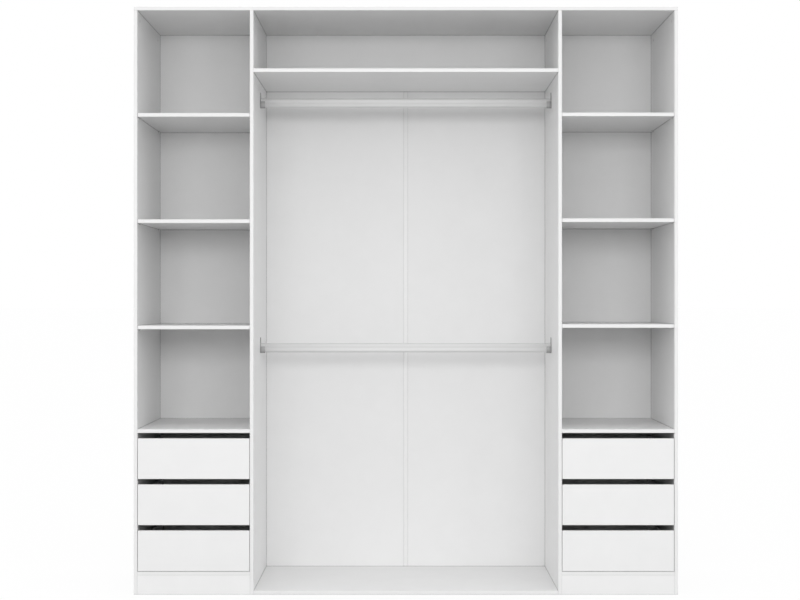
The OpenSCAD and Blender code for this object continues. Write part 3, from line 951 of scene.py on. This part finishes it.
def fade(material, value, start, end):
    """From 1 at the start to 0 at the end."""
    return spread(material, value, start, end, 1, 0)


def vary_roughness(material, shader, factor, smooth, rough):
    """Runs the roughness from smooth to rough along the factor's middle range."""
    feed(material, spread(material, factor, *middle_range, smooth, rough), shader.inputs["Roughness"])


def add_relief(material, shader, height, strength, depth):
    """A fine relief: depth is the height of the bumps in metres."""
    bump = add_node(material, "ShaderNodeBump", Height=height, Strength=strength, Distance=depth)
    feed(material, bump.outputs["Normal"], shader.inputs["Normal"])


# %% [markdown]
# A fine dark line is drawn in every corner where two boards meet. It is painted shade: an Ambient
# Occlusion node finds those corners by itself and darkens the colour there, as the shadow in a corner
# would. It looks only a few millimetres around, so open faces stay as they are.

# %% A helper for the painted shade in the corners
# How far the painted corner shade reaches, and how dark it is right in the corner.
corner_shade_reach = 4 * MM
corner_shade_tone = 0.55


def paint_corner_shade(material, colour):
    """The colour, with painted shade: a fine dark line where another surface is within reach."""
    # Painted shade: Ambient Occlusion darkens the colour in corners, where shadow falls.
    around = add_node(material, "ShaderNodeAmbientOcclusion", Distance=corner_shade_reach, samples=6)
    closed = fade(material, around.outputs["AO"], 0.5, 1.0)
    dark = blend_colour(material, closed, grey(1), grey(corner_shade_tone))
    return blend_colour(material, 1, colour, dark, "MULTIPLY")


# %% [markdown]
# ## White board
# The carcass is chipboard faced with white melamine. Up close melamine is not quite plain: it has a
# fine pearl grain pressed into it, and its gloss drifts a little over a board. Its front edges carry a
# glued plastic band a millimetre thick, whose joint shows as a hairline just behind the edge. The
# hairline is drawn from the board's own coordinates, by the distance from the front.

# %% A helper for the hairline behind a banded edge
band_thickness = 1 * MM
hairline = 0.12 * MM


def hairline_at(material, distance):
    """From 0 to 1 where a distance passes through zero, over a hairline's width."""
    return fade(material, calculate(material, "ABSOLUTE", distance), hairline / 2, hairline)


def axes_of(material, place):
    """The X, Y and Z of a place, as three outputs."""
    axes = add_node(material, "ShaderNodeSeparateXYZ", Vector=place)
    return axes.outputs["X"], axes.outputs["Y"], axes.outputs["Z"]


# %% Mix the board finish
tone_drift = 0.008
cloud_scale = 9
gloss_scale = 60
grain_scale = 700
grain_depth = 0.03 * MM


def make_melamine(name, tone, grain=0.35, find_seam=None):
    """White melamine; find_seam gives the distance from the joint of the edge band, if there is one."""
    material, shader = start_material(name, tone, 0.45)
    place = place_on(material)
    colour = drift(material, clouds(material, place, cloud_scale), tone, tone_drift)
    relief = clouds(material, place, grain_scale, 2.0)
    if find_seam:
        seam = hairline_at(material, find_seam(material, place))
        colour = blend_colour(material, seam, colour, grey(0.75 * tone))
        relief = calculate(material, "SUBTRACT", relief, seam)
    # Painted shade in the corners is laid over the board's colour here.
    feed(material, paint_corner_shade(material, colour), shader.inputs["Base Color"])
    vary_roughness(material, shader, clouds(material, place, gloss_scale), 0.4, 0.5)
    add_relief(material, shader, relief, grain, grain_depth)
    return material


def seam_behind(front_y):
    """The joint that runs a band's thickness behind a front edge."""
    def find(material, place):
        y = axes_of(material, place)[1]
        return calculate(material, "SUBTRACT", y, front_y + band_thickness)
    return find


board_tone = 0.82
carcass_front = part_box("left_side_panel")[0].y
shelf_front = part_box("left_shelf_1")[0].y
white_board = make_melamine("white_board", board_tone, find_seam=seam_behind(carcass_front))
shelf_board = make_melamine("shelf_board", board_tone, find_seam=seam_behind(shelf_front))
drawer_board = make_melamine("drawer_box_board", 0.8, 0.15)
drawer_base = make_melamine("drawer_base_board", 0.8, 0.15)

# %% [markdown]
# A drawer front is banded on all four edges. The six fronts share one material: folding X about the
# middle of the wardrobe and about the middle of a tower, and wrapping Z at the drawers' spacing, lays
# all six on top of one another. What is left is the distance to the nearest edge. The plinths stand
# low and get less light, so their board is made a shade whiter to look as light as the fronts: painted
# light.

# %% Mix the finish of the drawer fronts and the plinths
front_low, front_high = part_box("right_drawer_3_front")
drawer_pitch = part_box("right_drawer_2_front")[0].z - front_low.z
front_middle = (front_low + front_high) / 2


def seam_of_front(material, place):
    """The distance past the joint of the band, which runs round a front just inside its edges."""
    x, y, z = axes_of(material, place)
    folded = calculate(material, "ABSOLUTE", x)
    wrapped = calculate(material, "WRAP", z, front_low.z, front_low.z + drawer_pitch)
    past_seam = []
    for axis, along in (("x", folded), ("z", wrapped)):
        half = getattr(front_high - front_low, axis) / 2 - band_thickness
        offset = calculate(material, "SUBTRACT", along, getattr(front_middle, axis))
        distance = calculate(material, "ABSOLUTE", offset)
        past_seam.append(calculate(material, "SUBTRACT", distance, half))
    return calculate(material, "MAXIMUM", *past_seam)


front_board = make_melamine("drawer_front_board", 0.84, find_seam=seam_of_front)
# Painted light: the plinths' board is whiter than the carcass's, to make up for the less light low down.
plinth_board_painted_light = make_melamine("plinth_board_painted_light", 0.85)

# %% [markdown]
# The backs are thin hardboard, lacquered white on the side that shows. The side towards the wall has
# only a thin, dull coat, in which the fibres still show. The direction of a face tells the two apart.

# %% Mix the finish of the backs
def make_back_board(name, tone, rear_tone):
    """Hardboard with a smooth white face, and a rear of another tone in which the fibres show."""
    material, shader = start_material(name, tone, 0.5)
    place = place_on(material)
    face = add_node(material, "ShaderNodeNewGeometry")
    normal_y = axes_of(material, face.outputs["Normal"])[1]
    towards_wall = calculate(material, "GREATER_THAN", normal_y, 0.5)
    front = drift(material, clouds(material, place, cloud_scale), tone, tone_drift)
    fibres = clouds(material, place_on(material, (900, 900, 220)), 1.0, 4.0)
    rear = vary_tone(material, fibres, rear_tone - 0.05, rear_tone + 0.02)
    colour = blend_colour(material, towards_wall, front, rear)
    # Painted shade in the corners is laid over the back's colour here.
    feed(material, paint_corner_shade(material, colour), shader.inputs["Base Color"])
    vary_roughness(material, shader, clouds(material, place, gloss_scale), 0.45, 0.6)
    add_relief(material, shader, fibres, 0.15, 0.02 * MM)
    return material


back_board = make_back_board("back_board", board_tone, 0.72)

# %% [markdown]
# ## Metal and plastic
# The rails are satin anodised aluminium, drawn lengthwise, so their fine lines run along X. They are
# even in tone in the photograph and mirror nothing: the anodised layer scatters most of the light, so
# their Metallic is low. The brackets are grey zinc castings, and the runners zinc-plated sheet steel.

# %% Mix the metals and plastics
def make_metal(name, tone, roughness, stretch, scale, metallic=1.0):
    """Metal with a fine noise that sets its tone, gloss and relief, drawn out by the stretch."""
    material, shader = start_material(name, tone, roughness, metallic)
    place = place_on(material, stretch)
    lines = clouds(material, place, scale, 4.0)
    feed(material, drift(material, lines, tone, 0.03), shader.inputs["Base Color"])
    vary_roughness(material, shader, lines, roughness - 0.05, roughness + 0.05)
    add_relief(material, shader, lines, 0.3, 0.01 * MM)
    return material


def make_plastic(name, tone, roughness):
    """Moulded plastic with a very fine grain."""
    material, shader = start_material(name, tone, roughness)
    place = place_on(material)
    colour = drift(material, clouds(material, place, 40), tone, 0.01)
    # Painted shade in the corners is laid over the plastic's colour here.
    feed(material, paint_corner_shade(material, colour), shader.inputs["Base Color"])
    vary_roughness(material, shader, clouds(material, place, 200), roughness - 0.04, roughness + 0.04)
    add_relief(material, shader, clouds(material, place, 1500, 1.0), 0.2, 0.01 * MM)
    return material


rail_metal = make_metal("rail_aluminium", 0.66, 0.5, (2, 900, 900), 1.0, metallic=0.2)
bracket_metal = make_metal("bracket_zinc", 0.36, 0.5, (1, 1, 1), 500, metallic=0.6)
screw_steel = make_metal("screw_steel", 0.6, 0.35, (1, 1, 1), 900)
runner_steel = make_metal("runner_steel", 0.66, 0.35, (1, 1, 1), 120)
white_plastic = make_plastic("white_plastic", 0.84, 0.4)
nylon = make_plastic("nylon", 0.8, 0.5)
cam_lacquer = make_plastic("cam_lacquer", 0.8, 0.35)

finish_of_slot = {
    "white_board": white_board,
    "drawer_front": front_board,
    "drawer_board": drawer_board,
    "drawer_base": drawer_base,
    "back_board": back_board,
    "white_plastic": white_plastic,
    "rail_metal": rail_metal,
    "bracket_metal": bracket_metal,
    "screw_steel": screw_steel,
    "runner_steel": runner_steel,
    "nylon": nylon,
    "cam_lacquer": cam_lacquer,
}

# %% [markdown]
# ## Putting the finishes on
# The record says which finish each node has, so one loop dresses the whole frame. The new pieces
# carry the name of their slot, and take their finish the same way.

# %% Dress the frame and the new pieces
def dress(piece, slot):
    """Gives the piece the finish of its slot and no other."""
    piece.data.materials.clear()
    piece.data.materials.append(finish_of_slot[slot])


for part in frame["record"]["subparts"]:
    dress(frame["nodes"][part["node"]], part["material_slot"])
for side in ("left", "right"):
    for number in (1, 2, 3):
        shelf = frame["nodes"][f"{side}_shelf_{number}"]
        shelf.data.materials[0] = shelf_board
    frame["nodes"][f"{side}_plinth"].data.materials[0] = plinth_board_painted_light
for piece in new_pieces:
    dress(piece, piece["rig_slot"])

# %% [markdown]
# ## Floor and background
# The photograph has a pure white surround, with only a faint shadow beside the base. A lit floor is
# never that white without overexposing the wardrobe, so most of what the camera sees of the floor is
# its own even white, and the rest is lit, which keeps the shadow. Light Path tells what looks at the
# floor: the camera, a reflection and glass see that white, and the light that it throws back onto the
# wardrobe comes from a duller floor.

# %% Lay the floor
floor_size = 600
floor_tone = 0.9
thrown_tone = 0.4
floor_lit_share = 0.12


def seen_directly(owner):
    """1 for what the camera, a reflection or glass sees, and 0 for light thrown onto other things."""
    light_path = add_node(owner, "ShaderNodeLightPath")
    seen = light_path.outputs["Is Camera Ray"]
    for ray in ("Is Glossy Ray", "Is Transmission Ray"):
        seen = calculate(owner, "MAXIMUM", seen, light_path.outputs[ray])
    return seen


def lay_floor():
    """A wide white floor at the wardrobe's feet."""
    start_fresh()
    bpy.ops.mesh.primitive_plane_add(size=floor_size, location=(0, 0, 0))
    floor = settle("floor")
    material, shader = start_material("floor_white", floor_tone, 0.8)
    seen = seen_directly(material)
    dull = drift(material, clouds(material, place_on(material), 2), thrown_tone, 0.01)
    feed(material, blend_colour(material, seen, dull, grey(floor_tone)), shader.inputs["Base Color"])
    glow = add_node(material, "ShaderNodeEmission", Strength=1.0)
    glow_share = calculate(material, "MULTIPLY", seen, 1 - floor_lit_share)
    mix = add_node(material, "ShaderNodeMixShader", Fac=glow_share)
    feed(material, shader.outputs["BSDF"], mix.inputs[1])
    feed(material, glow.outputs["Emission"], mix.inputs[2])
    feed(material, mix.outputs["Shader"], material.node_tree.nodes["Material Output"].inputs["Surface"])
    floor.data.materials.append(material)
    return floor


floor = lay_floor()
print("floor:", [round(v, 1) for v in floor.dimensions])

# %% [markdown]
# ## Light
# The studio light is very soft and comes from the front. The world gives most of it, a large lamp in
# front adds to it, and a weak one on each side lights the inner faces of the uprights. The camera and
# every reflection see the world as plain white.

# %% Set the world and the lamps
world_strength = 1.07
key_lamp_power = 80
side_lamp_power = 14


def set_world(strength):
    """A world that lights the wardrobe with that strength and is seen as plain white."""
    world = bpy.data.worlds.new("studio")
    bpy.context.scene.world = world
    world.use_nodes = True
    world.node_tree.nodes.clear()
    mix = add_node(world, "ShaderNodeMixShader", Fac=seen_directly(world))
    for amount, socket in ((strength, mix.inputs[1]), (1, mix.inputs[2])):
        sky = add_node(world, "ShaderNodeBackground", Color=grey(1), Strength=amount)
        feed(world, sky.outputs["Background"], socket)
    output = add_node(world, "ShaderNodeOutputWorld")
    feed(world, mix.outputs["Shader"], output.inputs["Surface"])


def add_lamp(name, place, aim, size, power):
    """A rectangular lamp that looks from its place at its aim."""
    data = bpy.data.lights.new(name, "AREA")
    data.shape = "RECTANGLE"
    data.size, data.size_y = size
    data.energy = power
    lamp = bpy.data.objects.new(name, data)
    bpy.context.scene.collection.objects.link(lamp)
    lamp.location = place
    lamp.rotation_euler = (Vector(aim) - Vector(place)).to_track_quat("-Z", "Y").to_euler()


set_world(world_strength)
add_lamp("key_lamp", place=(0, -6, 2.3), aim=(0, 0, 1.2), size=(5, 1.2), power=key_lamp_power)
for side, name in ((-1, "left_lamp"), (1, "right_lamp")):
    add_lamp(name, place=(side * 4.5, -4, 1.6), aim=(0, -0.3, 1.2), size=(2.4, 3), power=side_lamp_power)
bpy.context.scene.view_settings.view_transform = "Standard"
